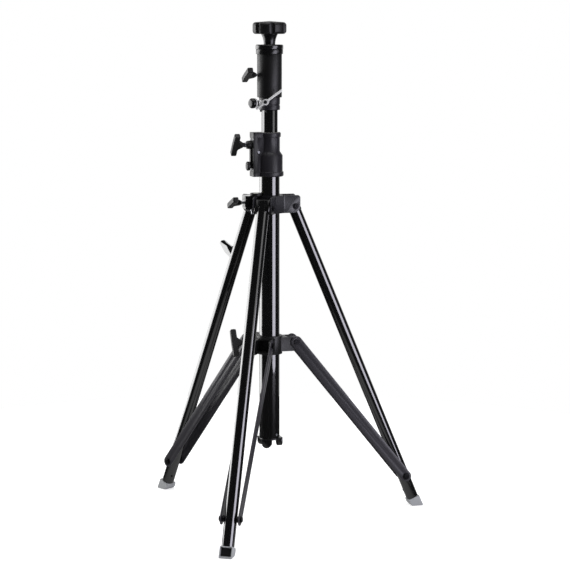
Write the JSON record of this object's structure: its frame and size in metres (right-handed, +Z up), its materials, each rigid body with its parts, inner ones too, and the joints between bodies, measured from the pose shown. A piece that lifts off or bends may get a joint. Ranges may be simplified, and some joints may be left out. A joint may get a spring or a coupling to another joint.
{
  "type": "crank lighting stand",
  "caption": "Black tripod stand whose central column carries a crank-driven riser, braced folding legs, a gearbox with crank handle, and a head socket closed by a star-knob plug.",
  "frame": {"origin": "centre of the bounding box on the floor; the column stands 94 mm behind it, towards +Y", "axes": "+Z up along the column; -Y along the front leg; +X to the right seen from the front"},
  "size_m": [0.7096, 0.6146, 1.2198],
  "materials": {
    "black_paint": "gloss black powder coat",
    "black_plastic": "black moulded plastic",
    "bronze": "bearing bronze",
    "bushing": "natural white slide bush",
    "chrome": "bright chrome",
    "grey_plastic": "light grey moulded plastic",
    "level_green": "black case of the spirit level",
    "satin_black": "satin black coated castings and pressed plates",
    "steel": "plain steel"
  },
  "bodies": {
    "column": {"column_tube": "black_paint", "column_cap": "black_plastic", "spider_plate_right": "satin_black", "spider_plate_rear": "satin_black", "spider_plate_left": "satin_black", "leg_pivot_bolts": "steel", "spider_hub": "black_plastic", "spider_clamp_block": "black_plastic", "spirit_level": "level_green", "gearbox_housing": "satin_black", "gearbox_cover": "satin_black", "crank_bush": "bronze", "cover_screws": "steel", "gear_axle": "steel", "riser_guide_bush": "bushing"},
    "leg_front": {"leg_front_tube": "black_paint", "leg_front_top_block": "black_plastic", "leg_front_shoe": "grey_plastic", "leg_front_brace_bolt": "steel"},
    "brace_front": {"brace_front_bars": "satin_black", "brace_front_top_bolts": "steel"},
    "leg_right": {"leg_right_tube": "black_paint", "leg_right_top_block": "black_plastic", "leg_right_shoe": "grey_plastic", "leg_right_brace_bolt": "steel"},
    "brace_right": {"brace_right_bars": "satin_black", "brace_right_top_bolts": "steel"},
    "leg_left": {"leg_left_tube": "black_paint", "leg_left_top_block": "black_plastic", "leg_left_shoe": "grey_plastic", "leg_left_brace_bolt": "steel", "leg_left_horn": "black_plastic"},
    "brace_left": {"brace_left_bars": "satin_black", "brace_left_top_bolts": "steel"},
    "collar": {"brace_collar": "black_plastic"},
    "riser": {"riser_tube": "black_paint", "riser_rack": "steel", "riser_slider": "bushing", "riser_collar": "satin_black", "collar_bush": "bushing", "lock_barrel": "chrome", "lever_stud": "steel"},
    "gear": {"lift_gear": "bronze"},
    "crank": {"crank_shaft": "steel", "crank_arm": "satin_black"},
    "grip": {"crank_grip": "black_plastic"},
    "brake": {"brake_knob": "black_plastic"},
    "head": {"inner_riser_tube": "black_paint", "inner_slider": "bushing", "head_barrel": "black_paint", "head_band": "satin_black", "head_rim": "satin_black"},
    "plug": {"socket_plug": "black_plastic", "star_knob": "black_plastic"},
    "head_clamp": {"head_clamp_knob": "black_plastic"},
    "spider_clamp": {"spider_knob": "black_plastic"},
    "collar_clamp": {"collar_knob": "black_plastic"},
    "plunger": {"lock_plunger": "black_plastic"},
    "lever": {"release_lever": "chrome"}
  },
  "joints": [
    {"name": "leg_front_fold", "type": "hinge", "parent": "column", "child": "leg_front", "pos_m": [0, 0.03347, 0.7725], "axis": [-1, 0, 0], "range_deg": [-22.8, 0]},
    {"name": "leg_right_fold", "type": "hinge", "parent": "column", "child": "leg_right", "pos_m": [0.05196, 0.12347, 0.7725], "axis": [0.5, -0.866, 0], "range_deg": [-22.8, 0]},
    {"name": "leg_left_fold", "type": "hinge", "parent": "column", "child": "leg_left", "pos_m": [-0.05196, 0.12347, 0.7725], "axis": [0.5, 0.866, 0], "range_deg": [-22.8, 0]},
    {"name": "brace_front_fold", "type": "hinge", "parent": "leg_front", "child": "brace_front", "pos_m": [0, -0.25755, 0.0802], "axis": [-1, 0, 0], "range_deg": [-16.5, 0]},
    {"name": "brace_right_fold", "type": "hinge", "parent": "leg_right", "child": "brace_right", "pos_m": [0.30399, 0.26898, 0.0802], "axis": [0.5, -0.866, 0], "range_deg": [-16.5, 0]},
    {"name": "brace_left_fold", "type": "hinge", "parent": "leg_left", "child": "brace_left", "pos_m": [-0.30399, 0.26898, 0.0802], "axis": [0.5, 0.866, 0], "range_deg": [-16.5, 0]},
    {"name": "collar_slide", "type": "slide", "parent": "column", "child": "collar", "axis": [0, 0, 1], "range_m": [0, 0.0434]},
    {"name": "riser_slide", "type": "slide", "parent": "column", "child": "riser", "axis": [0, 0, 1], "range_m": [0, 0.4]},
    {"name": "gear_spin", "type": "hinge", "parent": "column", "child": "gear", "pos_m": [-0.027, 0.07788, 0.90493], "axis": [0.5, -0.866, 0], "range_deg": [0, 2388]},
    {"name": "crank_spin", "type": "hinge", "parent": "column", "child": "crank", "pos_m": [-0.03906, 0.07092, 0.9225], "axis": [-0.866, -0.5, 0], "range_deg": [-19100, 0]},
    {"name": "crank_grip_spin", "type": "hinge", "parent": "crank", "child": "grip", "pos_m": [-0.04945, 0.06492, 0.871], "axis": [-0.866, -0.5, 0], "continuous": true},
    {"name": "brake_knob_turn", "type": "hinge", "parent": "crank", "child": "brake", "pos_m": [-0.05577, 0.06127, 0.9225], "axis": [-0.866, -0.5, 0], "range_deg": [0, 180]},
    {"name": "head_slide", "type": "slide", "parent": "riser", "child": "head", "axis": [0, 0, 1], "range_m": [0, 0.4]},
    {"name": "head_clamp_turn", "type": "hinge", "parent": "head", "child": "head_clamp", "pos_m": [-0.02944, 0.07647, 1.0908], "axis": [-0.866, -0.5, 0], "range_deg": [0, 180]},
    {"name": "plug_lift", "type": "slide", "parent": "head", "child": "plug", "axis": [0, 0, 1], "range_m": [0, 0.15]},
    {"name": "spider_knob_turn", "type": "hinge", "parent": "column", "child": "spider_clamp", "pos_m": [-0.06149, 0.05797, 0.7825], "axis": [-0.866, -0.5, 0], "range_deg": [0, 180]},
    {"name": "collar_knob_turn", "type": "hinge", "parent": "collar", "child": "collar_clamp", "pos_m": [-0.05872, 0.05957, 0.4375], "axis": [-0.866, -0.5, 0], "range_deg": [0, 180]},
    {"name": "plunger_pull", "type": "slide", "parent": "riser", "child": "plunger", "axis": [-0.5736, -0.8192, 0], "range_m": [0, 0.008], "stiffness_N_per_m": 600, "springref_m": -0.004},
    {"name": "lever_swing", "type": "hinge", "parent": "riser", "child": "lever", "pos_m": [0, 0.05947, 1.0265], "axis": [0, -1, 0], "range_deg": [0, 35]}
  ],
  "couplings": [
    {"joint": "leg_right_fold", "follows": "leg_front_fold", "ratio": 1},
    {"joint": "leg_left_fold", "follows": "leg_front_fold", "ratio": 1},
    {"joint": "brace_front_fold", "follows": "leg_front_fold", "ratio": 0.72134},
    {"joint": "brace_right_fold", "follows": "leg_front_fold", "ratio": 0.72134},
    {"joint": "brace_left_fold", "follows": "leg_front_fold", "ratio": 0.72134},
    {"joint": "collar_slide", "follows": "leg_front_fold", "m_per_rad": -0.10791},
    {"joint": "gear_spin", "follows": "riser_slide", "rad_per_m": 104.17},
    {"joint": "crank_spin", "follows": "riser_slide", "rad_per_m": -833.33},
    {"joint": "lever_swing", "follows": "plunger_pull", "rad_per_m": 76.14}
  ]
}
